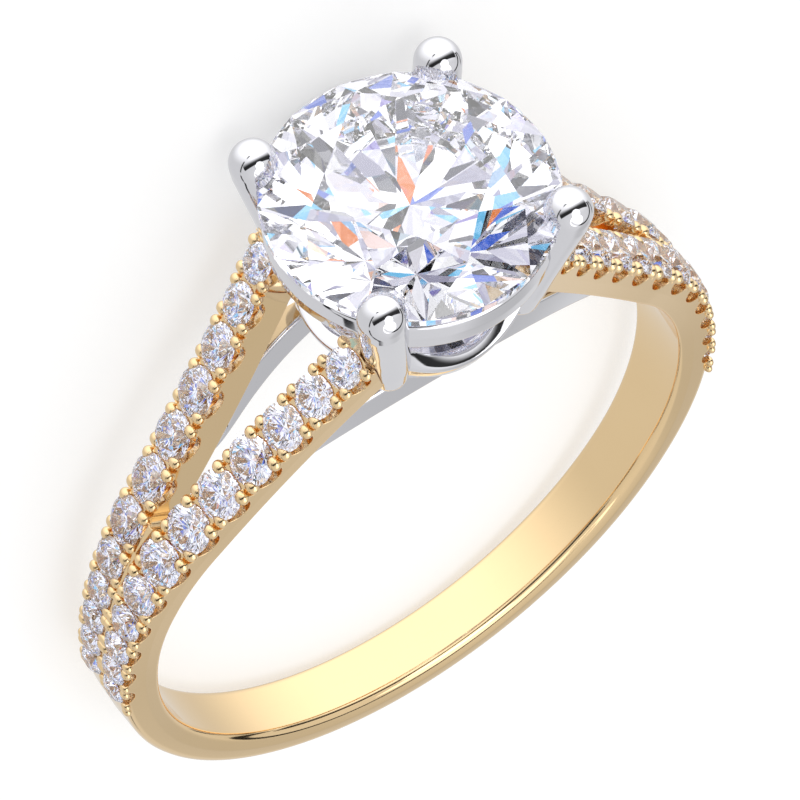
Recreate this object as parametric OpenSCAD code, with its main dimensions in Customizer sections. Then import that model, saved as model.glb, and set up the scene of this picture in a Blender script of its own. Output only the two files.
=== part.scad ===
// Split shank ring with a round centre stone in a four-claw head.
// The ring lies on its side, as it rests by itself: the gallery rail and the foot of the
// band touch the surface, and the centre stone faces -Y.
// The pieces are drawn on an upright ring, with the finger hole along Y and the stone
// towards +Z, and laid_down() turns each of them into its resting place.

/* [Finger hole] */
// Inner diameter of the ring
finger_d = 17; // [15:0.1:20]

/* [Band] */
// Width of the plain band at its foot
band_w = 1.9; // [1.6:0.05:2]
// Thickness of the plain band at its foot
band_t = 1; // [0.8:0.05:1.2]
// Width of the shank level with the middle of the finger hole
shoulder_w = 2.1; // [2:0.05:2.4]

/* [Split arms] */
// Slope of the arms, in degrees from level
arm_lean = 51.5; // [50:0.5:53]
// Width of one arm
arm_w = 1.2; // [1.1:0.02:1.3]
// Thickness of an arm at its inner edge
arm_t = 1.18; // [1.1:0.02:1.3]
// Distance sideways from a claw's middle to the end of the arm that meets it
arm_stop = 0.62; // [0.6:0.01:0.7]
// Radius of the arc that each arm follows as the two spread
spread_r = 70; // [60:1:90]
// Distance below the arms at which the two rows of stones begin to part
spread_from = 6.9; // [6.5:0.1:7.5]
// Distance of each row from the middle of the shank, before the rows part
row_y = 0.52; // [0.5:0.01:0.6]
// Distance below the arms at which the fork opens
fork_from = 0.5; // [0.2:0.1:1]
// Outward tilt of the stones and of the top of the arms, in degrees
row_tilt = 9; // [6:0.5:11]

/* [Small stones] */
// Diameter of the largest small stone
small_d = 1.2; // [1.05:0.01:1.22]
// Gap between neighbouring small stones in a row
small_gap = 0.17; // [0.14:0.01:0.25]
// Distance from the end of an arm to its first small stone's middle
first_in = 0.55; // [0.52:0.01:0.65]
// Depth of a small stone's girdle below the metal
small_sink = 0.06; // [0.02:0.01:0.12]
// Radius of the U cut beside the largest small stone
ucut_r = 0.48; // [0.4:0.01:0.52]
// Depth of the notches that split each end of a post into two prongs
notch_h = 0.34; // [0.25:0.01:0.4]
// Width of that notch at its mouth
notch_w = 0.24; // [0.15:0.01:0.3]
// Length of a post's core, across the row, that the notches leave whole
post_core = 0.8; // [0.76:0.02:0.9]

/* [Centre stone] */
// Diameter of the centre stone
centre_d = 7.45; // [7:0.05:7.8]
// Height of its girdle above the top of the finger hole
centre_h = 5.25; // [5:0.05:5.6]

/* [Head] */
// Diameter of a claw's ball tip
claw_tip_d = 1.23; // [1.1:0.01:1.3]
// Height of the ball tips above the girdle
claw_tip_h = 0.42; // [0.36:0.01:0.5]
// Distance of the ball tips outside the girdle
claw_tip_out = 0.155; // [0.1:0.005:0.25]
// Diameter of a claw where it meets its tip
claw_top_d = 1.16; // [1:0.01:1.2]
// Diameter of a claw at its rounded foot
claw_foot_d = 1; // [0.9:0.01:1.1]
// Distance of the claw feet from the head's axis
claw_foot_out = 2.83; // [2.75:0.01:2.95]
// Height of the claw feet above the top of the finger hole
claw_foot_h = 1.8; // [1.6:0.05:2]
// Outer diameter of the gallery rail
rail_d = 7.3; // [7.2:0.02:7.4]
// Height of the gallery rail
rail_h = 0.9; // [0.8:0.05:1]
// Thickness of the gallery rail
rail_t = 0.36; // [0.3:0.02:0.45]
// Distance from the girdle down to the top of the gallery rail
rail_drop = 0.35; // [0.3:0.05:0.45]
// Height of the basket's foot above the top of the finger hole
basket_h = 0.7; // [0.6:0.02:0.75]
// Diameter of the basket at its foot
basket_foot_d = 4.6; // [4.5:0.05:4.8]
// Thickness of the basket's wall
basket_t = 0.5; // [0.45:0.01:0.6]
// Height of the basket's foot ring
foot_ring_h = 1.1; // [1:0.05:1.3]
// Width of the U-shaped bands between the claws
loop_w = 0.66; // [0.5:0.02:0.8]
// Height of the lowest point of those bands above the top of the finger hole
loop_h = 1.2; // [1.1:0.05:1.3]
// Radius of those bands
loop_r = 2.75; // [2.65:0.01:2.85]

/* [Bridge] */
// Width of a bridge strut
strut_w = 0.65; // [0.5:0.01:0.75]
// Thickness of a bridge strut
strut_t = 0.95; // [0.85:0.01:1]
// Distance across both struts at their middle
strut_span = 3.9; // [3.7:0.05:4]
// Radius of the arc that each strut follows, seen from above
strut_arc_r = 18.4; // [17:0.1:20]
// Distance along an arm's underside from the finger hole to a strut's tip
strut_tip = 1.4; // [1.3:0.1:2]

/* [Fits] */
// Gap between the shank and the head
solder_gap = 0.03; // [0.02:0.005:0.05]
// Gap between a stone and its seat
seat_gap = 0.02; // [0.015:0.005:0.03]

/* [Hidden] */
$fn = 48;

// Cut of a round stone, as shares of its diameter and in degrees
TABLE_SHARE = 0.56;
STAR_SHARE = 0.77;
LOWER_SHARE = 0.22;
POCKET_SHARE = 0.5;
GIRDLE_SHARE = 0.03;
CROWN_ANGLE = 34.5;
PAVILION_ANGLE = 40.8;

// Diameters of one row of small stones from the head to the foot, as shares of small_d
ROW_SHARES = [0.8, 0.87, 0.94, 1, 1, 1, 1, 0.88, 0.8, 0.75, 0.7, 0.66];
ROW_COUNT = len(ROW_SHARES);

// Reach of cutting tools past what they cut
PAST = 3;
// Length by which an arm's root overlaps the band
ROOT = 0.3;
// Wall left between the U cuts of the two rows, on each side of the middle
MID_WALL = 0.05;

finger_r = finger_d / 2;
arm_top = finger_r + arm_t;
foot_r = finger_r + band_t;
girdle_z = finger_r + centre_h;

// Outer circle of the band, which the top of the arms touches: its centre's height and its radius
outer_c = (arm_t - band_t) / (1 + cos(arm_lean));
outer_r = foot_r + outer_c;

// Outline of the shoulders from the front: an arc from the shoulder's width to an arm's side
arm_side_y = row_at(0) + arm_w / 2;
flare_w = arm_side_y - shoulder_w / 2;
flare_h = arm_top * cos(arm_lean);
flare_r = (pow(flare_h, 2) + pow(flare_w, 2)) / (2 * flare_w);

rail_top = girdle_z - rail_drop;
rail_low = rail_top - rail_h;
basket_low = finger_r + basket_h;
claw_foot_z = finger_r + claw_foot_h;
claw_top_z = girdle_z + claw_tip_h;
claw_top_out = centre_d / 2 + claw_tip_out;

// Run of a claw away from the head's axis, for each unit of height
claw_run = (claw_top_out - claw_foot_out) / (claw_top_z - claw_foot_z);

// Length of an arm from where it leaves the finger hole to its stop beside a claw
arm_reach = row_top(0) * sin(arm_lean) - arm_stop;
claw_reach = cos(45) * (claw_foot_out + claw_run * (row_top(0) * cos(arm_lean) - claw_foot_z));
arm_len = (arm_reach - claw_reach) / (cos(arm_lean) + cos(45) * claw_run * sin(arm_lean));

// Resting tilt: the line from the rail's lower edge to the outer edge of the band's foot
rest_tilt = atan((rail_d / 2 - band_w / 2) / (rail_low + foot_r));

// Distance of a row of stones from the middle of the shank, at t along the arm
function row_at(t) = row_y + (t > -spread_from ? spread_r - sqrt(pow(spread_r, 2) - pow(t + spread_from, 2)) : 0);

// Turn of a row seen from above, at t along the arm
function row_turn(t) = t > -spread_from ? asin((t + spread_from) / spread_r) : 0;

// Angle round the band from the arm's root to a place at t below it
function bend_at(t) = t < 0 ? -t / arm_top * 180 / PI : 0;

// Distance from the middle of the finger hole to the metal at a row of stones
function row_top(t) = let (a = 90 + arm_lean + bend_at(t))
    t >= 0 ? arm_top - arm_w / 2 * tan(row_tilt)
    : outer_c * sin(a) + sqrt(pow(outer_r, 2) - pow(outer_c * cos(a), 2));

// Outward tilt of the stones, which fades out where the rows run side by side
function tilt_at(t) = row_tilt * min(1, max(0, 1 + t / spread_from));

// Places of the small stones' middles and of the posts between them, along the arm
function small_size(i) = small_d * ROW_SHARES[i];
function small_t(i) = i == 0 ? arm_len - first_in
    : small_t(i - 1) - (small_size(i - 1) + small_size(i)) / 2 - small_gap;
function post_t(i) = i == 0 ? small_t(0) + (small_size(0) + small_gap) / 2
    : small_t(i - 1) - (small_size(i - 1) + small_gap) / 2;
function post_share(i) = (ROW_SHARES[max(i - 1, 0)] + ROW_SHARES[min(i, ROW_COUNT - 1)]) / 2;

// Turns an upright ring onto its side, with the finger hole's middle at the origin
module laid_down() {
    rotate([-rest_tilt, 0, 0])
        rotate([-90, 0, 180])
            children();
}

// Frame of the left arms: X up along the arms, Z out through their top
module arm_frame() {
    rotate([0, -arm_lean, 0])
        children();
}

// A shape at t along the left near row, with Z out of the metal and Y away from the middle
module on_row(t) {
    mirror([0, 1, 0])
        arm_frame()
            rotate([0, -bend_at(t), 0])
                translate([max(t, 0), row_at(t), row_top(t)])
                    rotate([0, 0, row_turn(t)])
                        rotate([-tilt_at(t), 0, 0])
                            children();
}

module left_and_right() {
    children();
    mirror([1, 0, 0])
        children();
}

module near_and_far() {
    children();
    mirror([0, 1, 0])
        children();
}

// Side outline of a round stone for its seat, grown by a gap
module stone_outline(d, gap) {
    half_girdle = d * GIRDLE_SHARE / 2;
    table_r = d / 2 * TABLE_SHARE;
    polygon([
        [0, -half_girdle - d / 2 * tan(PAVILION_ANGLE) - gap * 2],
        [d / 2 + gap, -half_girdle - gap / 2],
        [d / 2 + gap, half_girdle + gap / 2],
        [table_r + gap, half_girdle + (d / 2 - table_r) * tan(CROWN_ANGLE) + gap],
        [0, half_girdle + (d / 2 - table_r) * tan(CROWN_ANGLE) + gap]
    ]);
}

module stone_seat(d) {
    rotate_extrude()
        stone_outline(d, seat_gap);
}

// Round stone with a table, 8 stars, 8 kites, 16 upper and 16 lower halves and 8 mains
module round_stone(d) {
    r = d / 2;
    g = d * GIRDLE_SHARE / 2;
    up = tan(CROWN_ANGLE);
    down = tan(PAVILION_ANGLE);
    table_r = r * TABLE_SHARE;
    star_r = r * STAR_SHARE;
    lower_r = r * LOWER_SHARE;
    half = 22.5;
    points = concat(
        [for (i = [0:7]) [table_r * cos(45 * i), table_r * sin(45 * i), g + (r - table_r) * up]],
        [for (i = [0:7]) [star_r * cos(45 * i + half), star_r * sin(45 * i + half),
            g + (r - star_r * cos(half)) * up]],
        [for (j = [0:15]) [r * cos(half * j), r * sin(half * j), g]],
        [for (j = [0:15]) [r * cos(half * j), r * sin(half * j), -g]],
        [for (i = [0:7]) [lower_r * cos(45 * i + half), lower_r * sin(45 * i + half),
            -g - (r - lower_r * cos(half)) * down]],
        [[0, 0, -g - r * down]]
    );
    star = 8;
    upper = 16;
    under = 32;
    lower = 48;
    culet = 56;
    faces = concat(
        [[for (i = [7:-1:0]) i]],
        [for (i = [0:7]) [i, star + i, upper + 2 * i, star + (i + 7) % 8]],
        [for (i = [0:7]) [i, (i + 1) % 8, star + i]],
        [for (i = [0:7]) [star + i, upper + 2 * i + 1, upper + 2 * i]],
        [for (i = [0:7]) [star + i, upper + (2 * i + 2) % 16, upper + 2 * i + 1]],
        [for (j = [0:15]) [upper + j, upper + (j + 1) % 16, under + (j + 1) % 16, under + j]],
        [for (i = [0:7]) [under + 2 * i, under + 2 * i + 1, lower + i]],
        [for (i = [0:7]) [under + 2 * i + 1, under + (2 * i + 2) % 16, lower + i]],
        [for (i = [0:7]) [under + 2 * i, lower + i, culet, lower + (i + 7) % 8]]
    );
    polyhedron(points, faces);
}

// Outline of the band from the front: tapered below the shoulders and flared above them
module front_outline() {
    depth = foot_r + PAST;
    foot_y = band_w / 2;
    shoulder_y = shoulder_w / 2;
    slip = (shoulder_y - foot_y) * PAST / foot_r;
    polygon([
        [-foot_y + slip, -depth],
        [foot_y - slip, -depth],
        [shoulder_y, 0],
        [-shoulder_y, 0]
    ]);
    difference() {
        translate([-arm_side_y, 0])
            square([2 * arm_side_y, flare_h]);
        translate([shoulder_y + flare_r, 0])
            circle(flare_r, $fn = 256);
        translate([-shoulder_y - flare_r, 0])
            circle(flare_r, $fn = 256);
    }
}

// Band and shoulders, open above the arms' roots
module hoop() {
    reach = 2 * foot_r;
    intersection() {
        rotate([90, 0, 0])
            translate([0, 0, -PAST])
                linear_extrude(2 * PAST)
                    difference() {
                        translate([0, outer_c])
                            circle(outer_r, $fn = 128);
                        circle(finger_r, $fn = 128);
                        polygon([
                            [0, 0],
                            [reach * sin(arm_lean), reach * cos(arm_lean)],
                            [0, 2 * reach],
                            [-reach * sin(arm_lean), reach * cos(arm_lean)]
                        ]);
                    }
        rotate([90, 0, 90])
            translate([0, 0, -reach])
                linear_extrude(2 * reach)
                    front_outline();
    }
}

// Cylinder of the finger hole
module finger_hole() {
    rotate([90, 0, 0])
        translate([0, 0, -2 * PAST])
            cylinder(h = 4 * PAST, r = finger_r, $fn = 128);
}

// One arm of the fork on the left near side, before it is set with stones
module arm() {
    difference() {
        arm_blank();
        finger_hole();
    }
}

module arm_blank() {
    mirror([0, 1, 0])
        arm_frame()
            intersection() {
                translate([-spread_from, row_y + spread_r, 0])
                    rotate_extrude($fn = 256)
                        polygon([
                            [spread_r + arm_w / 2, finger_r - ROOT],
                            [spread_r + arm_w / 2, arm_top],
                            [spread_r - arm_w / 2, arm_top - arm_w * tan(row_tilt)],
                            [spread_r - arm_w / 2, finger_r - ROOT]
                        ]);
                translate([-ROOT, -PAST, finger_r])
                    cube([arm_len + ROOT, 3 * PAST, PAST]);
            }
}

// Root of the gap between the two arms, with a blunt end
module fork_root() {
    half_w = row_at(-fork_from) - arm_w / 2;
    arm_frame()
        translate([0, 0, finger_r - PAST])
            linear_extrude(2 * PAST)
                polygon([
                    [-fork_from, -half_w / 3],
                    [-fork_from, half_w / 3],
                    [half_w - fork_from, half_w],
                    [ROOT, half_w],
                    [ROOT, -half_w],
                    [half_w - fork_from, -half_w]
                ]);
}

// Cut beside and under one small stone
module u_cut(i) {
    share = ROW_SHARES[i];
    t = small_t(i);
    inward = min(arm_w, row_at(t) - MID_WALL);
    on_row(t)
        rotate([-90, 0, 0])
            translate([0, 0, -inward])
                rotate([0, 0, 15])
                    cylinder(h = inward + arm_w, r = ucut_r * share, $fn = 12);
}

// Outline of a notch, with Y into the metal
module notch_outline(share) {
    polygon([
        [0, notch_h * share],
        [notch_w / 2 * share, 0],
        [notch_w / 2 * share, -arm_w],
        [-notch_w / 2 * share, -arm_w],
        [-notch_w / 2 * share, 0]
    ]);
}

// Notches that split each end of the post between two stones into two prongs
module post_notch(i) {
    t = post_t(i);
    share = post_share(i);
    core = post_core / 2 * share;
    inward = min(arm_w, row_at(t) - MID_WALL);
    on_row(t)
        rotate([-90, 0, 0]) {
            translate([0, 0, core])
                linear_extrude(arm_w)
                    notch_outline(share);
            translate([0, 0, -inward])
                linear_extrude(inward - core)
                    notch_outline(share);
        }
}

// Pocket drilled for one small stone
module pocket(i) {
    size = small_size(i);
    on_row(small_t(i))
        translate([0, 0, -small_sink - size * POCKET_SHARE])
            cylinder(h = size, r = size / 2 + seat_gap);
}

// A claw from its rounded foot to its ball tip, grown by a gap
module claw(grow) {
    lean = atan(claw_run);
    stem_h = (claw_top_z - claw_foot_z) / cos(lean);
    rotate([0, 0, 45])
        translate([claw_foot_out, 0, claw_foot_z])
            rotate([0, lean, 0]) {
                sphere(claw_foot_d / 2 + grow);
                cylinder(h = stem_h, r1 = claw_foot_d / 2 + grow, r2 = claw_top_d / 2 + grow);
                translate([0, 0, stem_h])
                    sphere(claw_tip_d / 2 + grow);
            }
}

module claws(grow) {
    for (turn = [0:90:270])
        rotate([0, 0, turn])
            claw(grow);
}

// Radius of the basket's outside at a height
function basket_r(z) = basket_foot_d / 2
    + (rail_d - basket_foot_d) / 2 * (z - basket_low) / (rail_low - basket_low);

// Wall of the basket between two heights
module basket_wall(low, high, wall) {
    rotate_extrude()
        polygon([
            [basket_r(low) - wall, low],
            [basket_r(low), low],
            [basket_r(high), high],
            [basket_r(high) - wall, high]
        ]);
}

// Space that the basket takes, grown by the gap to the shank
module basket_space() {
    rotate_extrude()
        polygon([
            [0, basket_low],
            [basket_r(basket_low) + solder_gap, basket_low],
            [basket_r(rail_low) + solder_gap, rail_low],
            [basket_r(rail_low) + solder_gap, girdle_z],
            [0, girdle_z]
        ]);
}

// One pair of U-shaped bands, in the basket's wall on two opposite sides
module loops() {
    loop_z = finger_r + loop_h + loop_r;
    intersection() {
        basket_wall(basket_low, rail_low + rail_h / 2, basket_t);
        rotate([90, 0, 0])
            translate([0, 0, -rail_d])
                linear_extrude(2 * rail_d)
                    difference() {
                        translate([0, loop_z])
                            circle(loop_r);
                        translate([0, loop_z])
                            circle(loop_r - loop_w);
                        translate([-rail_d, loop_z])
                            square([2 * rail_d, rail_d]);
                    }
    }
}

module rail() {
    rotate_extrude()
        translate([rail_d / 2 - rail_t, rail_low])
            square([rail_t, rail_h]);
}

// One bridge strut on the near side, along the finger hole
module strut() {
    middle_y = strut_span / 2 - strut_arc_r;
    intersection() {
        rotate([90, 0, 0])
            difference() {
                cylinder(h = strut_span, r = finger_r + strut_t);
                translate([0, 0, -PAST])
                    cylinder(h = strut_span + 2 * PAST, r = finger_r);
            }
        mirror([0, 1, 0])
            translate([0, middle_y, 0])
                difference() {
                    cylinder(h = girdle_z, r = strut_arc_r, $fn = 256);
                    translate([0, 0, -PAST])
                        cylinder(h = girdle_z + 2 * PAST, r = strut_arc_r - strut_w, $fn = 256);
                }
        translate([-finger_r, -strut_span, 0])
            cube([2 * finger_r, strut_span, girdle_z]);
    }
}

// Space of the arms above their underside, and past the strut's tip, on the left
module arm_space() {
    wide = 4 * PAST;
    arm_frame() {
        translate([-wide, -wide / 2, finger_r - solder_gap])
            cube([2 * wide, wide, wide]);
        translate([strut_tip - wide, -wide / 2, -PAST])
            cube([wide, wide, 2 * wide]);
    }
}

module shank() {
    color("#d9b36c")
        laid_down()
            difference() {
                union() {
                    hoop();
                    left_and_right()
                        near_and_far()
                            arm();
                }
                left_and_right() {
                    fork_root();
                    near_and_far() {
                        for (i = [0:ROW_COUNT - 1]) {
                            u_cut(i);
                            pocket(i);
                        }
                        for (i = [0:ROW_COUNT])
                            post_notch(i);
                    }
                }
                claws(solder_gap);
                basket_space();
            }
}

module head() {
    color("#d7d8de")
        laid_down()
            difference() {
                union() {
                    claws(0);
                    rail();
                    basket_wall(basket_low, basket_low + foot_ring_h, basket_t + strut_w / 2);
                    loops();
                    rotate([0, 0, 90])
                        loops();
                    difference() {
                        near_and_far()
                            strut();
                        left_and_right()
                            arm_space();
                    }
                }
                translate([0, 0, girdle_z])
                    stone_seat(centre_d);
                finger_hole();
            }
}

module centre_stone() {
    color("#f4f6ff")
        laid_down()
            translate([0, 0, girdle_z])
                round_stone(centre_d);
}

module left_stones() {
    color("#eef1fb")
        laid_down()
            near_and_far()
                for (i = [0:ROW_COUNT - 1])
                    on_row(small_t(i))
                        translate([0, 0, -small_sink])
                            round_stone(small_size(i));
}

module right_stones() {
    color("#eef1fb")
        laid_down()
            mirror([1, 0, 0])
                near_and_far()
                    for (i = [0:ROW_COUNT - 1])
                        on_row(small_t(i))
                            translate([0, 0, -small_sink])
                                round_stone(small_size(i));
}

shank();
head();
centre_stone();
left_stones();
right_stones();
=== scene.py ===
"""Looks of the split shank ring: polished yellow and white gold, a round brilliant and two rows of
small brilliants on each shoulder, held by prongs cut from the arms.

Every form is drawn on an upright ring in millimetres, with the finger hole along Y and the centre
stone towards +Z, and laid() turns it into its resting place in the frame.
"""

import math
import random

import bmesh
import bpy
from mathutils import Matrix, Vector


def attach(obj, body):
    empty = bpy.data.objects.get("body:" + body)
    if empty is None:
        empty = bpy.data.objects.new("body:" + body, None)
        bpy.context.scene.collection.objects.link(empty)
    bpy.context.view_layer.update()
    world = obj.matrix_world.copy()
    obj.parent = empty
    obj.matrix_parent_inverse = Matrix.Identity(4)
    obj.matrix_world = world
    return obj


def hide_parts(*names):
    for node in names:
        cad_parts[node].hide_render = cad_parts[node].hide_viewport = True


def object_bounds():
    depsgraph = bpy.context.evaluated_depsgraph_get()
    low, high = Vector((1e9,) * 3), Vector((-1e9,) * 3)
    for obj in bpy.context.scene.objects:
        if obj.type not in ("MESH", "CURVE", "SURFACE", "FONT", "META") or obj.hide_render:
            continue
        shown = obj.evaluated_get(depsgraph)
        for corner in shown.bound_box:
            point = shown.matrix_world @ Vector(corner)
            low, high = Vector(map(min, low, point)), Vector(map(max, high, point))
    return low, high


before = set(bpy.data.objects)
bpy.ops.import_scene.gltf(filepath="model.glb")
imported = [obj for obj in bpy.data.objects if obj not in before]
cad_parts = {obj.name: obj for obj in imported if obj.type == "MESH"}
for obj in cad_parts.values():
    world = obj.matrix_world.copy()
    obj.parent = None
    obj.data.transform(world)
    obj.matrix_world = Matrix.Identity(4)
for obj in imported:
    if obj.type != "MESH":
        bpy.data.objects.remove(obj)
cad_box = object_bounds()

# ---- Sizes in millimetres and degrees, the part's own but for stones, notches, loops and tips ----
FINGER_R = 8.5
BAND_W = 1.9
BAND_T = 1.0
SHOULDER_W = 2.1
ARM_LEAN = 51.5
ARM_W = 1.2
ARM_T = 1.18
ARM_LEN = 7.392
SPREAD_R = 70.0
SPREAD_FROM = 6.9
ROW_Y = 0.52
FORK_FROM = 0.5
ROW_TILT = 9.0
SMALL_D = 1.2
SMALL_GAP = 0.17
FIRST_IN = 0.55
SMALL_SINK = -0.03
STONE_GROW = 1.12
UCUT_R = 0.48
NOTCH_H = 0.2
NOTCH_W = 0.2
POST_CORE = 0.78
CENTRE_D = 7.45
CENTRE_H = 5.25
RAIL_D = 7.3
RAIL_H = 0.9
RAIL_T = 0.36
RAIL_DROP = 0.35
BASKET_H = 0.7
BASKET_FOOT_D = 4.6
BASKET_T = 0.5
FOOT_RING_H = 1.1
LOOP_W = 0.66
LOOP_BULGE = 0.16
LOOP_WIDEN = 0.25
LOOP_H = 1.2
LOOP_R = 2.75
STRUT_W = 0.65
STRUT_T = 0.95
STRUT_SPAN = 3.9
STRUT_ARC_R = 18.4
STRUT_TIP = 1.4
# Turn about the finger hole over which a strut narrows to its tip
TIP_TURN = 9.0
SOLDER_GAP = 0.03
SEAT_GAP = 0.01
STONE_TURN = 16
# A brilliant's angles, and its table, stars, lower halves and girdle as shares of its size
CROWN = 34.5
PAVILION = 40.8
TABLE_SHARE = 0.56
STAR_SHARE = 0.77
LOWER_SHARE = 0.2
GIRDLE_SHARE = 0.03
ROW_SHARES = (0.8, 0.87, 0.94, 1, 1, 1, 1, 0.88, 0.8, 0.75, 0.7, 0.66)
MID_WALL = 0.05
# The shank's section: how far past the shoulder it turns into the plain band, and over what length
PLAIN_FROM = 3.0
PLAIN_OVER = 8.0
BELLY = 0.10
CROWN_DROP = 0.05
INNER_ROUND = 0.09
STEP = 0.22
FORK_STEP = 0.03

# Claws: distance of the centre line from the head's axis, height, and radius, from foot to tip
CLAW_LINE = (
    (2.83, 10.30, 0.52),
    (2.96, 10.90, 0.575),
    (3.16, 11.70, 0.605),
    (3.42, 12.60, 0.62),
    (3.67, 13.40, 0.625),
    (3.83, 13.90, 0.62),
    (3.88, 14.17, 0.615),
)

# Prongs at the corners of the small stones
BEAD_R = 0.185
BEAD_TALL = 0.17
BEAD_APART = 0.22
BEAD_IN = 0.12
BEAD_LONG = 1.15
BEAD_SINK = 0.02

ARM_TOP = FINGER_R + ARM_T
FOOT_R = FINGER_R + BAND_T
GIRDLE_Z = FINGER_R + CENTRE_H
RAIL_TOP = GIRDLE_Z - RAIL_DROP
RAIL_LOW = RAIL_TOP - RAIL_H
BASKET_LOW = FINGER_R + BASKET_H
OUTER_C = (ARM_T - BAND_T) / (1 + math.cos(math.radians(ARM_LEAN)))
OUTER_R = FOOT_R + OUTER_C
REST_TILT = math.atan((RAIL_D / 2 - BAND_W / 2) / (RAIL_LOW + FOOT_R))
ROW_END = -(math.pi - math.radians(ARM_LEAN)) * ARM_TOP

LAY = (
    Matrix.Scale(0.001, 4)
    @ Matrix.Rotation(-REST_TILT, 4, "X")
    @ Matrix(((-1, 0, 0, 0), (0, 0, -1, 0), (0, -1, 0, 0), (0, 0, 0, 1)))
)


def turn(angle, axis):
    return Matrix.Rotation(math.radians(angle), 4, axis)


# ---- Places along the rows, as on the part ----
def row_at(t):
    if t <= -SPREAD_FROM:
        return ROW_Y
    return ROW_Y + SPREAD_R - math.sqrt(SPREAD_R**2 - (t + SPREAD_FROM) ** 2)


def row_turn(t):
    return math.degrees(math.asin((t + SPREAD_FROM) / SPREAD_R)) if t > -SPREAD_FROM else 0.0


def bend_at(t):
    return math.degrees(-t / ARM_TOP) if t < 0 else 0.0


def tilt_at(t):
    return ROW_TILT * min(1.0, max(0.0, 1 + t / SPREAD_FROM))


def outer_at(t):
    a = math.radians(90 + ARM_LEAN + bend_at(t))
    return OUTER_C * math.sin(a) + math.sqrt(OUTER_R**2 - (OUTER_C * math.cos(a)) ** 2)


def row_top(t):
    if t >= 0:
        return ARM_TOP - ARM_W / 2 * math.tan(math.radians(ROW_TILT))
    blend = min(1.0, -t / SPREAD_FROM)
    low = ARM_W / 2 * math.tan(math.radians(ROW_TILT))
    return outer_at(t) - low * (1 - blend)


def small_size(i):
    return SMALL_D * ROW_SHARES[i]


def row_places():
    """Places of the small stones' middles and of the posts between them, along a row."""
    stones = [ARM_LEN - FIRST_IN]
    for i in range(1, len(ROW_SHARES)):
        stones.append(stones[-1] - (small_size(i - 1) + small_size(i)) / 2 - SMALL_GAP)
    posts = [stones[0] + (small_size(0) + SMALL_GAP) / 2]
    for i in range(1, len(stones) + 1):
        posts.append(stones[i - 1] - (small_size(i - 1) + SMALL_GAP) / 2)
    return stones, posts


STONES, POSTS = row_places()


def post_share(i):
    last = len(ROW_SHARES) - 1
    return (ROW_SHARES[max(i - 1, 0)] + ROW_SHARES[min(i, last)]) / 2


def station(t):
    """Frame of the left far row at t: X along the row, Z out from the finger hole's axis."""
    return turn(-ARM_LEAN - bend_at(t), "Y") @ Matrix.Translation((max(t, 0.0), 0, 0))


def on_row(t):
    return (
        station(t)
        @ Matrix.Translation((0, row_at(t), row_top(t)))
        @ turn(row_turn(t), "Z")
        @ turn(-tilt_at(t), "X")
    )


SIDES = {"left": 1, "right": -1}
ROWS = {"near": -1, "far": 1}


def mirrored(side, row):
    return Matrix.Diagonal((SIDES[side], ROWS[row], 1, 1))


# ---- Mesh helpers ----
def make(name, verts, faces):
    mesh = bpy.data.meshes.new(name)
    mesh.from_pydata([tuple(v) for v in verts], [], faces)
    bm = bmesh.new()
    bm.from_mesh(mesh)
    bmesh.ops.recalc_face_normals(bm, faces=bm.faces)
    bm.to_mesh(mesh)
    bm.free()
    obj = bpy.data.objects.new(name, mesh)
    bpy.context.scene.collection.objects.link(obj)
    return obj


def gather(name, parts):
    """One object from (verts, faces) parts."""
    verts, faces = [], []
    for part_verts, part_faces in parts:
        base = len(verts)
        verts += part_verts
        faces += [tuple(base + k for k in f) for f in part_faces]
    return make(name, verts, faces)


def moved(part, matrix):
    return [matrix @ Vector(v) for v in part[0]], part[1]


def loft(sections, closed=False):
    """Skin over loops of equal length, capped unless the row of loops is closed."""
    n = len(sections[0])
    verts = [Vector(p) for section in sections for p in section]
    faces = []
    count = len(sections)
    for s in range(count if closed else count - 1):
        a, b = s * n, (s + 1) % count * n
        for k in range(n):
            q = (k + 1) % n
            faces.append((a + k, a + q, b + q, b + k))
    if not closed:
        faces.append(tuple(range(n - 1, -1, -1)))
        faces.append(tuple((count - 1) * n + k for k in range(n)))
    return verts, faces


def prism(outline, low, high):
    return loft([[(x, y, low) for x, y in outline], [(x, y, high) for x, y in outline]])


def circle(radius, count, phase=0.0):
    angles = [phase + 2 * math.pi * k / count for k in range(count)]
    return [(radius * math.cos(a), radius * math.sin(a)) for a in angles]


def revolve(profile, count):
    """Ring or solid of revolution about Z from a closed profile of (radius, height)."""
    loops = []
    for k in range(count):
        a = 2 * math.pi * k / count
        loops.append([(r * math.cos(a), r * math.sin(a), z) for r, z in profile])
    return loft(loops, closed=True)


def lathe(profile, count):
    """Solid of revolution about Z whose profile starts and ends on the axis."""
    verts = [Vector((0, 0, profile[0][1]))]
    faces = []
    inner = profile[1:-1]
    for r, z in inner:
        verts += [Vector((x, y, z)) for x, y in circle(r, count)]
    verts.append(Vector((0, 0, profile[-1][1])))
    last = len(verts) - 1
    for k in range(count):
        q = (k + 1) % count
        faces.append((0, 1 + q, 1 + k))
        for m in range(len(inner) - 1):
            a, b = 1 + m * count, 1 + (m + 1) * count
            faces.append((a + k, a + q, b + q, b + k))
        top = 1 + (len(inner) - 1) * count
        faces.append((top + k, top + q, last))
    return verts, faces


def rounded(corners, steps=4):
    """Closed outline through corners given as (x, y, rounding radius)."""
    out = []
    n = len(corners)
    for i, (x, y, r) in enumerate(corners):
        here = Vector((x, y))
        back = Vector(corners[i - 1][:2]) - here
        on = Vector(corners[(i + 1) % n][:2]) - here
        half = back.angle(on) / 2
        reach = min(r / math.tan(half), back.length * 0.48, on.length * 0.48)
        start, end = here + back.normalized() * reach, here + on.normalized() * reach
        for k in range(steps + 1):
            f = k / steps
            p = start * (1 - f) ** 2 + here * 2 * f * (1 - f) + end * f**2
            out.append((p.x, p.y))
    return out


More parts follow.
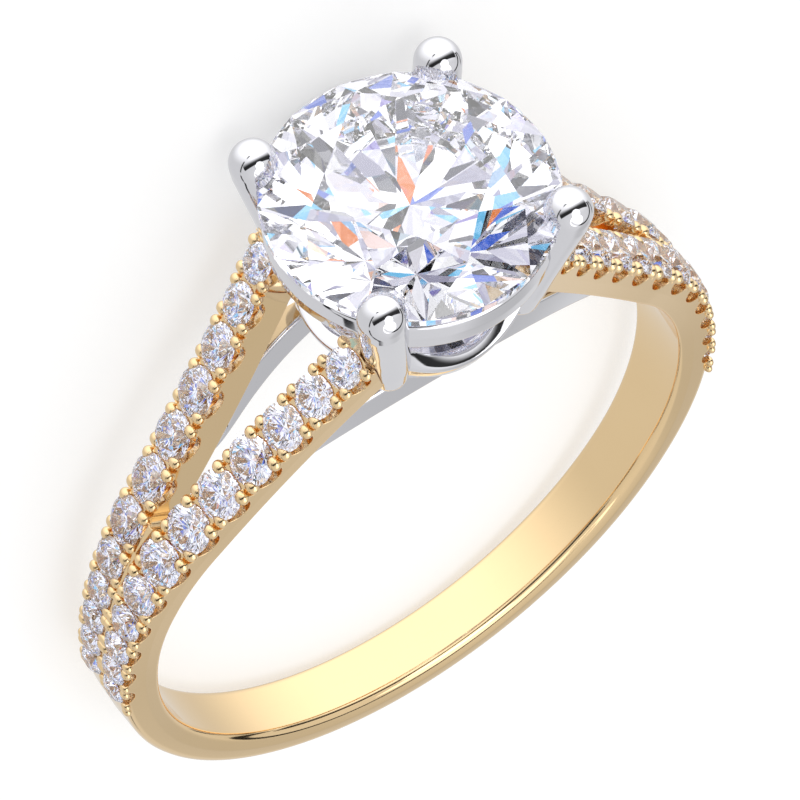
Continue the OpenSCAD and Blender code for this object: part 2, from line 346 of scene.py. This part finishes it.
def bake(obj):
    """Applies an object's modifiers to its mesh."""
    graph = bpy.context.evaluated_depsgraph_get()
    mesh = bpy.data.meshes.new_from_object(obj.evaluated_get(graph))
    obj.modifiers.clear()
    obj.data = mesh


def combine(obj, other, operation):
    mod = obj.modifiers.new("combine", "BOOLEAN")
    mod.operation = operation
    mod.solver = "MANIFOLD"
    mod.object = other
    bake(obj)
    bpy.data.objects.remove(other)


def join(obj, others):
    """Joins loose forms to an object's mesh."""
    bm = bmesh.new()
    bm.from_mesh(obj.data)
    for other in others:
        bm.from_mesh(other.data)
        bpy.data.objects.remove(other)
    bm.to_mesh(obj.data)
    bm.free()


def soften(obj, angle):
    """Smooth shading that keeps edges sharper than an angle."""
    for polygon in obj.data.polygons:
        polygon.use_smooth = True
    obj.data.set_sharp_from_angle(angle=math.radians(angle))
    mod = obj.modifiers.new("weights", "WEIGHTED_NORMAL")
    mod.keep_sharp = True
    bake(obj)


def laid(obj, node, material):
    """Lays a finished piece down in its place and hands it over to the frame."""
    obj.data.transform(LAY)
    obj.data.materials.clear()
    obj.data.materials.append(material)
    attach(obj, "root")
    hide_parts(node)


# ---- Materials: grain sizes of their patterns, over object space in metres ----
CLOUD_SCALE = 260
HAZE_SCALE = 1400
TINT_SCALE = 300
GRAIN = 0.04
GRAIN_DEPTH = 0.00001
GEM_IOR = 2.42


def new_material(name):
    material = bpy.data.materials.new(name)
    material.use_nodes = True
    nodes = material.node_tree.nodes
    return material, nodes, material.node_tree.links, nodes["Principled BSDF"]


def metal(name, light, deep, low_rough, high_rough, edge_r):
    """Polished gold: faint colour clouds, haze, fine grain and edges rounded by edge_r."""
    material, nodes, links, shader = new_material(name)
    place = nodes.new("ShaderNodeTexCoord")
    clouds = nodes.new("ShaderNodeTexNoise")
    clouds.inputs["Scale"].default_value = CLOUD_SCALE
    clouds.inputs["Detail"].default_value = 4
    links.new(place.outputs["Object"], clouds.inputs["Vector"])
    tone = nodes.new("ShaderNodeMix")
    tone.data_type = "RGBA"
    tone.inputs["A"].default_value = (*light, 1)
    tone.inputs["B"].default_value = (*deep, 1)
    links.new(clouds.outputs["Fac"], tone.inputs["Factor"])
    links.new(tone.outputs["Result"], shader.inputs["Base Color"])
    haze = nodes.new("ShaderNodeTexNoise")
    haze.inputs["Scale"].default_value = HAZE_SCALE
    haze.inputs["Detail"].default_value = 6
    links.new(place.outputs["Object"], haze.inputs["Vector"])
    rough = nodes.new("ShaderNodeMapRange")
    rough.inputs["To Min"].default_value = low_rough
    rough.inputs["To Max"].default_value = high_rough
    links.new(haze.outputs["Fac"], rough.inputs["Value"])
    links.new(rough.outputs["Result"], shader.inputs["Roughness"])
    grain = nodes.new("ShaderNodeBump")
    grain.inputs["Strength"].default_value = GRAIN
    grain.inputs["Distance"].default_value = GRAIN_DEPTH
    links.new(haze.outputs["Fac"], grain.inputs["Height"])
    if edge_r:
        edge = nodes.new("ShaderNodeBevel")
        edge.samples = 6
        edge.inputs["Radius"].default_value = edge_r * 0.001
        links.new(edge.outputs["Normal"], grain.inputs["Normal"])
    links.new(grain.outputs["Normal"], shader.inputs["Normal"])
    shader.inputs["Metallic"].default_value = 1.0
    return material


def gem(name, tint):
    """Clear brilliant: strong refraction and a trace of tint that varies from facet to facet."""
    material, nodes, links, shader = new_material(name)
    place = nodes.new("ShaderNodeTexCoord")
    depth = nodes.new("ShaderNodeTexNoise")
    depth.inputs["Scale"].default_value = TINT_SCALE
    links.new(place.outputs["Object"], depth.inputs["Vector"])
    tone = nodes.new("ShaderNodeMix")
    tone.data_type = "RGBA"
    tone.inputs["A"].default_value = (1, 1, 1, 1)
    tone.inputs["B"].default_value = (*tint, 1)
    links.new(depth.outputs["Fac"], tone.inputs["Factor"])
    links.new(tone.outputs["Result"], shader.inputs["Base Color"])
    shader.inputs["Transmission Weight"].default_value = 1.0
    shader.inputs["IOR"].default_value = GEM_IOR
    shader.inputs["Roughness"].default_value = 0.0
    return material


yellow_gold = metal("yellow_gold", (0.90, 0.68, 0.40), (0.86, 0.63, 0.35), 0.04, 0.11, 0.04)
white_gold = metal("white_gold", (0.79, 0.79, 0.825), (0.75, 0.75, 0.79), 0.03, 0.08, 0)
centre_gem = gem("centre_gem", (0.965, 0.97, 1.0))
small_gem = gem("small_gems", (0.80, 0.86, 1.0))


# ---- Shank ----
def half_width(t):
    """Outer side of the near half of the shank at t."""
    arm_side = row_at(t) + ARM_W / 2
    if t >= 0:
        return arm_side
    z = math.cos(math.radians(ARM_LEAN + bend_at(t))) * ARM_TOP
    if z > 0:
        flare_w = row_at(0) + ARM_W / 2 - SHOULDER_W / 2
        flare_h = ARM_TOP * math.cos(math.radians(ARM_LEAN))
        flare_r = (flare_h**2 + flare_w**2) / (2 * flare_w)
        return SHOULDER_W / 2 + flare_r - math.sqrt(flare_r**2 - min(z, flare_h) ** 2)
    return BAND_W / 2 + (SHOULDER_W - BAND_W) / 2 * (1 + z / FOOT_R)


def inner_side(t):
    """Inner side of the near half: nothing below the fork, then a round root, then the arm."""
    arm_side = row_at(t) - ARM_W / 2
    into = t + FORK_FROM
    if into <= 0:
        return 0.0
    root = row_at(-FORK_FROM) - ARM_W / 2
    if into < root:
        return min(arm_side, math.sqrt(root**2 - (root - into) ** 2))
    return arm_side


def shank_section(t):
    """Closed outline of one half of the shank at t, across the row and out from the finger hole."""
    out_y, in_y = half_width(t), inner_side(t)
    plain = min(1.0, max(0.0, (-t - PLAIN_FROM) / PLAIN_OVER))
    belly = BELLY * plain
    tilt = math.tan(math.radians(tilt_at(t)))
    top = row_top(t)
    outer_top = top - (out_y - row_at(t)) * tilt
    inner_top = top - (in_y - row_at(t)) * tilt
    if in_y <= 0.001:
        inner_top = min(inner_top, outer_at(t) + 0.02)
    crown = CROWN_DROP * plain
    inner_round = INNER_ROUND if in_y > 0.02 else 0.001
    corners = (
        (in_y, FINGER_R, inner_round * 0.6),
        (out_y - belly, FINGER_R, 0.05 + 0.22 * plain),
        (out_y, FINGER_R + 0.45, 0.3),
        (out_y - 0.02, outer_top - crown, 0.07 + 0.2 * plain),
        (in_y, inner_top, inner_round),
    )
    return rounded(corners, steps=4)


def shank_stations():
    """Places of the sections along a row, close together where the fork's root is."""
    places = [ARM_LEN]
    while places[-1] > ROW_END:
        step = FORK_STEP if -0.62 < places[-1] < -0.2 else STEP
        places.append(max(places[-1] - step, ROW_END))
    return places


def half_shank(side, row):
    matrix = mirrored(side, row)
    loops = []
    for t in shank_stations():
        place = matrix @ station(t)
        loops.append([place @ Vector((0, y, w)) for y, w in shank_section(t)])
    return loft(loops)


def row_cutters(form):
    parts = []
    for side in SIDES:
        for row in ROWS:
            parts += [moved(part, mirrored(side, row)) for part in form()]
    return parts


def side_reach(t):
    return min(ARM_W, row_at(t) - MID_WALL)


def u_cuts():
    parts = []
    for t, share in zip(STONES, ROW_SHARES):
        tube = prism(circle(UCUT_R * share, 32), -side_reach(t), ARM_W)
        parts.append(moved(tube, on_row(t) @ turn(-90, "X")))
    return parts


def notches():
    parts = []
    for i, t in enumerate(POSTS):
        share = post_share(i)
        outline = [
            (0, NOTCH_H * share),
            (NOTCH_W / 2 * share, -0.02),
            (NOTCH_W / 2 * share, -ARM_W),
            (-NOTCH_W / 2 * share, -ARM_W),
            (-NOTCH_W / 2 * share, -0.02),
        ]
        core = POST_CORE / 2 * share
        for low, high in ((core, ARM_W), (-side_reach(t), -core)):
            if high - low > 0.02:
                parts.append(moved(prism(outline, low, high), on_row(t) @ turn(-90, "X")))
    return parts


def pockets():
    parts = []
    for i, t in enumerate(STONES):
        r = small_size(i) / 2 * STONE_GROW + SEAT_GAP
        deep = -r * 1.08
        profile = [(0, deep), (r * 0.2, deep), (r, -SMALL_SINK - r * 0.12), (r, r), (0, r)]
        parts.append(moved(lathe(profile, 32), on_row(t)))
    return parts


def beads():
    """Rounded prong tips at the corners of each small stone."""
    bm = bmesh.new()
    for side in SIDES:
        for row in ROWS:
            for i, t in enumerate(POSTS):
                share = post_share(i)
                size = BEAD_R * (0.4 + 0.6 * share)
                outer = ARM_W / 2 - BEAD_IN
                inner = min(outer, row_at(t) - BEAD_IN / 2)
                for y in (outer, -inner):
                    for x in (-BEAD_APART * share, BEAD_APART * share)[: 2 if i else 1]:
                        grow = Matrix.Diagonal((size, size * BEAD_LONG, BEAD_TALL * share, 1))
                        place = Matrix.Translation((x, y, -BEAD_SINK))
                        bead = mirrored(side, row) @ on_row(t) @ place @ grow
                        bmesh.ops.create_icosphere(bm, subdivisions=3, radius=1, matrix=bead)
    bmesh.ops.recalc_face_normals(bm, faces=bm.faces)
    mesh = bpy.data.meshes.new("beads")
    bm.to_mesh(mesh)
    bm.free()
    obj = bpy.data.objects.new("beads", mesh)
    bpy.context.scene.collection.objects.link(obj)
    return obj


# ---- Head ----
def claw_part(grow):
    """A smooth drop from a rounded foot to a ball that leans over the stone."""
    points = [Vector((r, 0, z)) for r, z, _ in CLAW_LINE]
    radii = [radius + grow for _, _, radius in CLAW_LINE]
    count = 48
    loops = []

    def loop(centre, along, radius):
        side = Vector((0, 1, 0))
        up = along.cross(side).normalized()
        return [centre + side * x + up * y for x, y in circle(radius, count)]

    first = (points[1] - points[0]).normalized()
    for k in range(8, 0, -1):
        a = math.pi / 2 * k / 8.5
        centre = points[0] - first * radii[0] * math.sin(a)
        loops.append(loop(centre, first, radii[0] * math.cos(a)))
    steps = 6
    for i in range(len(points) - 1):
        for k in range(steps):
            f = k / steps
            centre = points[i].lerp(points[i + 1], f)
            back = points[max(i - 1, 0)]
            ahead = points[min(i + 2, len(points) - 1)]
            along = (points[i + 1] - back).lerp(ahead - points[i], f).normalized()
            loops.append(loop(centre, along, radii[i] * (1 - f) + radii[i + 1] * f))
    last = (points[-1] - points[-2]).normalized()
    for k in range(12):
        a = math.pi / 2 * k / 12.3
        centre = points[-1] + last * radii[-1] * math.sin(a)
        loops.append(loop(centre, last, radii[-1] * math.cos(a)))
    return loft(loops)


def claws(grow):
    return [moved(claw_part(grow), turn(45 + 90 * k, "Z")) for k in range(4)]


def basket_r(z):
    """Outer radius of the basket's leaning wall at a height."""
    rise = RAIL_LOW - BASKET_LOW
    return BASKET_FOOT_D / 2 + (RAIL_D - BASKET_FOOT_D) / 2 * (z - BASKET_LOW) / rise


def loop_band():
    """One U-shaped band between two claws, in the basket's leaning wall."""
    outline = rounded(
        ((-LOOP_W / 2, -BASKET_T / 2, 0.14), (LOOP_W / 2, -BASKET_T / 2, 0.14),
         (LOOP_W / 2, BASKET_T / 2, 0.14), (-LOOP_W / 2, BASKET_T / 2, 0.14)), 3)
    radius = LOOP_R - LOOP_W / 2
    centre_z = FINGER_R + LOOP_H + LOOP_R

    def point(a):
        x, z = radius * math.cos(a), centre_z + radius * math.sin(a)
        return Vector((x, -math.sqrt((basket_r(z) - BASKET_T / 2) ** 2 - x * x), z))

    loops = []
    count = 48
    for k in range(count + 1):
        a = math.pi + math.pi * k / count
        here = point(a)
        along = (point(a + 0.01) - point(a - 0.01)).normalized()
        out = Vector((here.x, here.y, -0.45 * math.hypot(here.x, here.y))).normalized()
        side = along.cross(out).normalized()
        out = side.cross(along).normalized()
        low = math.sin(a) ** 2
        middle = here + out * (LOOP_BULGE * low)
        wide = 1 + LOOP_WIDEN * low
        loops.append([middle + side * (x * wide) + out * y for x, y in outline])
    return loft(loops)


def rail():
    r = RAIL_D / 2
    outline = rounded(((r - RAIL_T, RAIL_LOW, 0.1), (r - 0.04, RAIL_LOW, 0.14),
                       (r, (RAIL_LOW + RAIL_TOP) / 2, 0.5), (r - 0.04, RAIL_TOP, 0.14),
                       (r - RAIL_T, RAIL_TOP, 0.08)), 4)
    return revolve(outline, 128)


def foot_ring():
    high = BASKET_LOW + FOOT_RING_H
    low_r, high_r = basket_r(BASKET_LOW), basket_r(high)
    wall = BASKET_T + STRUT_W / 2
    outline = rounded(((low_r - wall, BASKET_LOW, 0.1), (low_r, BASKET_LOW, 0.16),
                       (high_r, high, 0.14), (high_r - wall, high, 0.14)), 4)
    return revolve(outline, 96)


def strut(row):
    """A bridge strut along the finger hole, tapering to a tip under each arm."""
    middle_y = STRUT_SPAN / 2 - STRUT_ARC_R
    under = FINGER_R - SOLDER_GAP
    reach = ARM_LEAN - math.degrees(math.atan(STRUT_TIP / under))
    loops = []
    count = 72
    for k in range(count + 1):
        a = -reach + 2 * reach * k / count
        outer = min(FINGER_R + STRUT_T, under / math.cos(math.radians(ARM_LEAN - abs(a))))
        x = FINGER_R * math.sin(math.radians(a))
        into_tip = max(0.0, abs(a) - reach + TIP_TURN) / TIP_TURN
        narrow = STRUT_W / 2 * (1 - math.sqrt(max(0.02, 1 - into_tip**2)))
        out_y = middle_y + math.sqrt((STRUT_ARC_R - narrow) ** 2 - x * x)
        in_y = middle_y + math.sqrt((STRUT_ARC_R - STRUT_W + narrow) ** 2 - x * x)
        soft = min(0.12, (outer - FINGER_R) * 0.4)
        outline = rounded(((in_y, FINGER_R, soft / 2), (out_y, FINGER_R, soft / 2),
                           (out_y, outer, soft), (in_y, outer, soft)), 3)
        place = Matrix.Diagonal((1, ROWS[row], 1, 1)) @ turn(a, "Y")
        loops.append([place @ Vector((0, y, w)) for y, w in outline])
    return loft(loops)


# ---- Stones ----
def brilliant(d, girdle_share=GIRDLE_SHARE, table_share=TABLE_SHARE, arc=4):
    """Round brilliant: table, 8 stars, 8 kites, 16 upper and 16 lower halves, 8 mains and a
    scalloped girdle of 16 arcs."""
    r = d / 2
    g = d * girdle_share / 2
    up, down = math.tan(math.radians(CROWN)), math.tan(math.radians(PAVILION))
    half = math.radians(22.5)

    def ring(radius, z, count, phase=0.0):
        return [Vector((x, y, z)) for x, y in circle(radius, count, phase)]

    table = ring(r * table_share, g + (r - r * table_share) * up, 8)
    star = ring(r * STAR_SHARE, g + (r - r * STAR_SHARE * math.cos(half)) * up, 8, half)
    low = ring(r * LOWER_SHARE, -g - (r - r * LOWER_SHARE * math.cos(half)) * down, 8, half)
    culet = Vector((0, 0, -g - r * down))
    n = 16 * arc
    scallop = d * 0.006
    rim_up, rim_down = [], []
    for k in range(n):
        x, y = math.cos(2 * math.pi * k / n) * r, math.sin(2 * math.pi * k / n) * r
        bow = math.sin(math.pi * (k % arc) / arc) * scallop
        rim_up.append(Vector((x, y, g - bow)))
        rim_down.append(Vector((x, y, -g + bow)))
    verts = table + star + rim_up + rim_down + low + [culet]
    t0, s0, u0, d0, l0 = 0, 8, 16, 16 + n, 16 + 2 * n
    c0 = l0 + 8
    faces = [tuple(range(8))]
    for i in range(8):
        j = (i + 1) % 8
        rim, next_rim = 2 * i * arc, (2 * i + 1) * arc
        end = (2 * i + 2) * arc
        faces.append((t0 + i, t0 + j, s0 + i))
        faces.append((t0 + i, s0 + i, u0 + rim, s0 + (i - 1) % 8))
        faces.append((s0 + i,) + tuple(u0 + k % n for k in range(next_rim, rim - 1, -1)))
        faces.append((s0 + i,) + tuple(u0 + k % n for k in range(end, next_rim - 1, -1)))
        faces.append((l0 + i,) + tuple(d0 + k % n for k in range(rim, next_rim + 1)))
        faces.append((l0 + i,) + tuple(d0 + k % n for k in range(next_rim, end + 1)))
        faces.append((d0 + rim, l0 + i, c0, l0 + (i - 1) % 8))
    for k in range(n):
        q = (k + 1) % n
        faces.append((u0 + k, u0 + q, d0 + q, d0 + k))
    return verts, faces


def small_row(side):
    """The small stones of both rows on one side, each turned a little its own way."""
    rng = random.Random(7 + SIDES[side])
    parts = []
    for row in ROWS:
        for i, t in enumerate(STONES):
            spin = Matrix.Rotation(rng.uniform(0, math.pi / 4), 4, "Z")
            sit = Matrix.Translation((0, 0, -SMALL_SINK))
            d = small_size(i) * STONE_GROW
            stone = brilliant(d, girdle_share=0.035, table_share=0.54, arc=2)
            parts.append(moved(stone, mirrored(side, row) @ on_row(t) @ sit @ spin))
    return parts


def build_shank():
    shank = gather("shank_body", [half_shank("left", "near")])
    for side, row in (("left", "far"), ("right", "near"), ("right", "far")):
        combine(shank, gather("half", [half_shank(side, row)]), "UNION")
    combine(shank, gather("u_cuts", row_cutters(u_cuts)), "DIFFERENCE")
    combine(shank, gather("notches", row_cutters(notches)), "DIFFERENCE")
    combine(shank, gather("pockets", row_cutters(pockets)), "DIFFERENCE")
    combine(shank, gather("claw_room", claws(SOLDER_GAP)), "DIFFERENCE")
    join(shank, [beads()])
    soften(shank, 35)
    laid(shank, "shank", yellow_gold)


def build_head():
    head = gather("head_body", [rail()])
    for k in range(4):
        combine(head, gather("claw", [moved(claw_part(0), turn(45 + 90 * k, "Z"))]), "UNION")
        combine(head, gather("loop", [moved(loop_band(), turn(90 * k, "Z"))]), "UNION")
    combine(head, gather("foot_ring", [foot_ring()]), "UNION")
    for row in ROWS:
        combine(head, gather("strut", [strut(row)]), "UNION")
    hole = moved(prism(circle(FINGER_R, 256), -10, 10), turn(90, "X"))
    combine(head, gather("finger_hole", [hole]), "DIFFERENCE")
    r, g = CENTRE_D / 2 + SEAT_GAP, CENTRE_D * GIRDLE_SHARE / 2 + SEAT_GAP
    deep = -g - r * math.tan(math.radians(PAVILION))
    table_r = CENTRE_D / 2 * TABLE_SHARE
    high = g + (r - table_r) * math.tan(math.radians(CROWN))
    seat = lathe([(0, deep), (r * 0.01, deep), (r, -g), (r, g), (table_r, high), (0, high)], 128)
    combine(head, gather("seat", [moved(seat, Matrix.Translation((0, 0, GIRDLE_Z)))]), "DIFFERENCE")
    soften(head, 35)
    laid(head, "head", white_gold)


def build_stones():
    sit = Matrix.Translation((0, 0, GIRDLE_Z)) @ turn(STONE_TURN, "Z")
    stone = gather("centre_brilliant", [moved(brilliant(CENTRE_D), sit)])
    laid(stone, "centre_stone", centre_gem)
    for side in SIDES:
        field = gather(f"{side}_brilliants", small_row(side))
        laid(field, f"{side}_stones", small_gem)


build_shank()
build_head()
build_stones()


# ---- Camera at the photograph's angle, floor and light ----
FLOOR_REACH = 1.5
FLOOR_TONE = 0.49
FLOOR_LIFT = 0.51
FLOOR_ROUGH = 0.55
KEY_AWAY = 0.42
KEY_SHIFT = (-0.16, 0.10, 0.22)
KEY_ACROSS, KEY_WATTS = 0.34, 0.40
TOP_PLACE = (0.02, 0.05, 0.48)
TOP_ACROSS, TOP_WATTS = 0.50, 0.55


def row_direction(v):
    return (LAY.to_3x3() @ Vector(v)).normalized()


# The camera on the upright ring: its place, and the picture's right, up and inward directions
EYE = (-36.71, -50.55, 101.15)
RIGHT = (0.8202, -0.5720, 0.0109)
UP = (0.4754, 0.6919, 0.5433)
LOOK = (0.3183, 0.4405, -0.8394)
# Focal length over the picture's width, both in pixels
LENS_SHARE = 4417 / 800
SENSOR = 36

camera_data = bpy.data.cameras.new("camera")
camera_data.sensor_width = SENSOR
camera_data.lens = SENSOR * LENS_SHARE
camera_data.clip_start = 0.005
camera_data.clip_end = 5
camera = bpy.data.objects.new("camera", camera_data)
bpy.context.scene.collection.objects.link(camera)
columns = Matrix((row_direction(RIGHT), row_direction(UP), -row_direction(LOOK))).transposed()
camera.matrix_world = Matrix.Translation(LAY @ Vector(EYE)) @ columns.to_4x4()
bpy.context.scene.camera = camera

floor_z = cad_box[0][2]
signs = ((-1, -1), (1, -1), (1, 1), (-1, 1))
corners = [(x * FLOOR_REACH, y * FLOOR_REACH, floor_z) for x, y in signs]
floor = make("floor", corners, [(0, 1, 2, 3)])
floor_material, _, _, floor_shader = new_material("floor")
floor_shader.inputs["Base Color"].default_value = (FLOOR_TONE, FLOOR_TONE, FLOOR_TONE, 1)
floor_shader.inputs["Emission Color"].default_value = (1, 1, 1, 1)
floor_shader.inputs["Emission Strength"].default_value = FLOOR_LIFT
floor_shader.inputs["Roughness"].default_value = FLOOR_ROUGH
floor.data.materials.append(floor_material)
floor.visible_transmission = False
floor.visible_glossy = False


def area_light(name, place, across, watts):
    """A round light that faces the ring's middle."""
    data = bpy.data.lights.new(name, "AREA")
    data.shape = "DISK"
    data.size = across
    data.energy = watts
    light = bpy.data.objects.new(name, data)
    bpy.context.scene.collection.objects.link(light)
    facing = (Vector() - Vector(place)).to_track_quat("-Z", "Y")
    light.matrix_world = Matrix.Translation(place) @ facing.to_matrix().to_4x4()


TO_EYE = -row_direction(LOOK)
area_light("key", TO_EYE * KEY_AWAY + Vector(KEY_SHIFT), KEY_ACROSS, KEY_WATTS)
area_light("top", TOP_PLACE, TOP_ACROSS, TOP_WATTS)


FLOOR_SKY = 0.80
GLOW = (-0.3, -0.88, -0.35)
# Light of the sweep: from and to along GLOW, then how bright at each end; the same by height
SWEEP = (0.0, 0.95, 0.77, 1.60)
SWEEP_BY_HEIGHT = (0.25, 1.0, 0.0, 0.08)
HORIZON_AT = 0.06
HORIZON_HALF = 0.035
PATCH_SCALE = 1.3
PATCHY = (0.49, 0.55)
DARKEST = 0.97
CARD_SOFT = 0.01
# Directions, on the upright ring, where the horizon is left out and where the sweep is dimmer, each
# with the angles at which that starts and is full
CLEAR = (0.38, -0.07, -0.92)
CLEAR_ANGLES = (36, 26)
SHADE = (0.385, -0.515, -0.766)
SHADE_ANGLES = (25, 6)
SHADE_DEPTH = 0.22


def from_eye(right, up, back):
    """A fixed direction named by how it lies to the photograph's own frame."""
    return (row_direction(RIGHT) * right + row_direction(UP) * up + TO_EYE * back).normalized()


# Dark strips that polished metal mirrors: middle, direction across, offset along it, half length in
# degrees, half width and softness of the upper edge
DARK_STRIPS = (
    (from_eye(0.39, 0.0, 0.92), from_eye(-0.48, 0.877, 0.0), -0.12, 72, 0.19, 0.85),
    (from_eye(0.82, -0.50, -0.05), from_eye(0.781, -0.11, 0.615), 0.55, 58, 0.06, 0.2),
)
THROUGH_ANGLE = 17
THROUGH = (0.98, 0.96, 1.04)
CELL_SCALE = 7.0
CELL_SHIFT = (9.9, 4.5, 2.6)
# Share of the cells at which each colour starts, and that colour
CELLS = (
    (0.0, (1.25, 1.25, 1.28)),
    (0.42, (0.86, 0.85, 0.98)),
    (0.56, (0.46, 0.45, 0.60)),
    (0.68, (0.10, 0.10, 0.14)),
    (0.77, (0.0, 0.0, 0.0)),
    (0.86, (0.08, 0.18, 0.80)),
    (0.90, (0.22, 0.70, 1.1)),
    (0.93, (1.0, 0.26, 0.03)),
    (0.945, (0.30, 0.24, 0.70)),
    (0.97, (1.05, 0.78, 0.72)),
    (0.985, (0.35, 0.62, 0.95)),
)


def studio():
    """Soft studio surroundings: an even white for the floor, a pale sweep with a dark horizon
    and dark strips for polished metal, and a broken pattern of light, shade and colour for the
    stones."""
    world = bpy.data.worlds.new("studio")
    bpy.context.scene.world = world
    world.use_nodes = True
    nodes, links = world.node_tree.nodes, world.node_tree.links

    def put(socket, value):
        if isinstance(value, (int, float)):
            socket.default_value = value
        else:
            links.new(value, socket)

    def maths(operation, *values):
        node = nodes.new("ShaderNodeMath")
        node.operation = operation
        for socket, value in zip(node.inputs, values):
            put(socket, value)
        return node.outputs[0]

    def ramp(value, low, high, to_low=0.0, to_high=1.0):
        node = nodes.new("ShaderNodeMapRange")
        node.interpolation_type = "SMOOTHSTEP"
        for key, given in (("Value", value), ("From Min", low), ("From Max", high),
                           ("To Min", to_low), ("To Max", to_high)):
            put(node.inputs[key], given)
        return node.outputs[0]

    def mix(factor, a, b):
        node = nodes.new("ShaderNodeMix")
        node.data_type = "RGBA"
        put(node.inputs["Factor"], factor)
        for key, given in (("A", a), ("B", b)):
            if isinstance(given, tuple):
                node.inputs[key].default_value = (*given, 1)
            else:
                links.new(given, node.inputs[key])
        return node.outputs["Result"]

    way = nodes.new("ShaderNodeTexCoord").outputs["Generated"]
    split = nodes.new("ShaderNodeSeparateXYZ")
    links.new(way, split.inputs[0])
    height = split.outputs["Z"]

    broad = nodes.new("ShaderNodeTexNoise")
    broad.inputs["Scale"].default_value = PATCH_SCALE
    links.new(way, broad.inputs["Vector"])
    patchy = ramp(broad.outputs["Fac"], *PATCHY)
    off = maths("ABSOLUTE", maths("SUBTRACT", height, HORIZON_AT))
    horizon = maths("MULTIPLY", ramp(off, HORIZON_HALF, HORIZON_HALF * 1.6, 1.0, 0.0), patchy)

    def along(direction):
        dot = nodes.new("ShaderNodeVectorMath")
        dot.operation = "DOT_PRODUCT"
        links.new(way, dot.inputs[0])
        dot.inputs[1].default_value = direction
        return dot.outputs["Value"]

    def card(direction, half_angle):
        edge = math.cos(math.radians(half_angle))
        return ramp(along(direction), edge, edge + CARD_SOFT)

    def nearness(direction, wide, tight):
        low, high = math.cos(math.radians(wide)), math.cos(math.radians(tight))
        return ramp(along(row_direction(direction)), low, high)

    dark = maths("MULTIPLY", horizon, maths("SUBTRACT", 1.0, nearness(CLEAR, *CLEAR_ANGLES)))
    for middle, across, offset, half_angle, half_width, soft in DARK_STRIPS:
        beside = maths("SUBTRACT", along(across), offset)
        low_edge = ramp(beside, -half_width, -half_width * 0.8)
        high_edge = ramp(beside, half_width * (1 - soft), half_width * (1 + soft), 1.0, 0.0)
        strip = maths("MULTIPLY", low_edge, high_edge)
        dark = maths("MAXIMUM", dark, maths("MULTIPLY", strip, card(middle, half_angle)))
    sweep = ramp(along(Vector(GLOW).normalized()), *SWEEP)
    sweep = maths("ADD", sweep, ramp(height, *SWEEP_BY_HEIGHT))
    shade = maths("MULTIPLY", nearness(SHADE, *SHADE_ANGLES), SHADE_DEPTH)
    sweep = maths("MULTIPLY", sweep, maths("SUBTRACT", 1.0, shade))
    level = maths("MULTIPLY", sweep, maths("SUBTRACT", 1.0, maths("MULTIPLY", dark, DARKEST)))
    grey = nodes.new("ShaderNodeCombineColor")
    for k in range(3):
        links.new(level, grey.inputs[k])

    cells = nodes.new("ShaderNodeTexVoronoi")
    cells.inputs["Scale"].default_value = CELL_SCALE
    shift = nodes.new("ShaderNodeVectorMath")
    shift.operation = "ADD"
    links.new(way, shift.inputs[0])
    shift.inputs[1].default_value = CELL_SHIFT
    links.new(shift.outputs[0], cells.inputs["Vector"])
    pick = nodes.new("ShaderNodeSeparateColor")
    links.new(cells.outputs["Color"], pick.inputs[0])
    table = nodes.new("ShaderNodeValToRGB")
    table.color_ramp.interpolation = "CONSTANT"
    stops = table.color_ramp.elements
    for position, colour in CELLS:
        stop = stops[0] if position == 0 else stops.new(position)
        stop.color = (*colour, 1)
    stops.remove(stops[len(stops) - 1])
    links.new(pick.outputs[0], table.inputs["Fac"])

    path = nodes.new("ShaderNodeLightPath")
    seen = mix(path.outputs["Is Glossy Ray"], (FLOOR_SKY,) * 3, grey.outputs[0])
    through = mix(card(row_direction(LOOK), THROUGH_ANGLE), table.outputs["Color"], THROUGH)
    seen = mix(path.outputs["Is Transmission Ray"], seen, through)
    background = nodes["Background"]
    links.new(seen, background.inputs["Color"])
    background.inputs["Strength"].default_value = 1.0


studio()

scene = bpy.context.scene
scene.view_settings.view_transform = "Standard"
scene.view_settings.look = "None"
# Light crosses a cut stone many times before it leaves
scene.cycles.max_bounces = 32
scene.cycles.glossy_bounces = 24
scene.cycles.transmission_bounces = 24
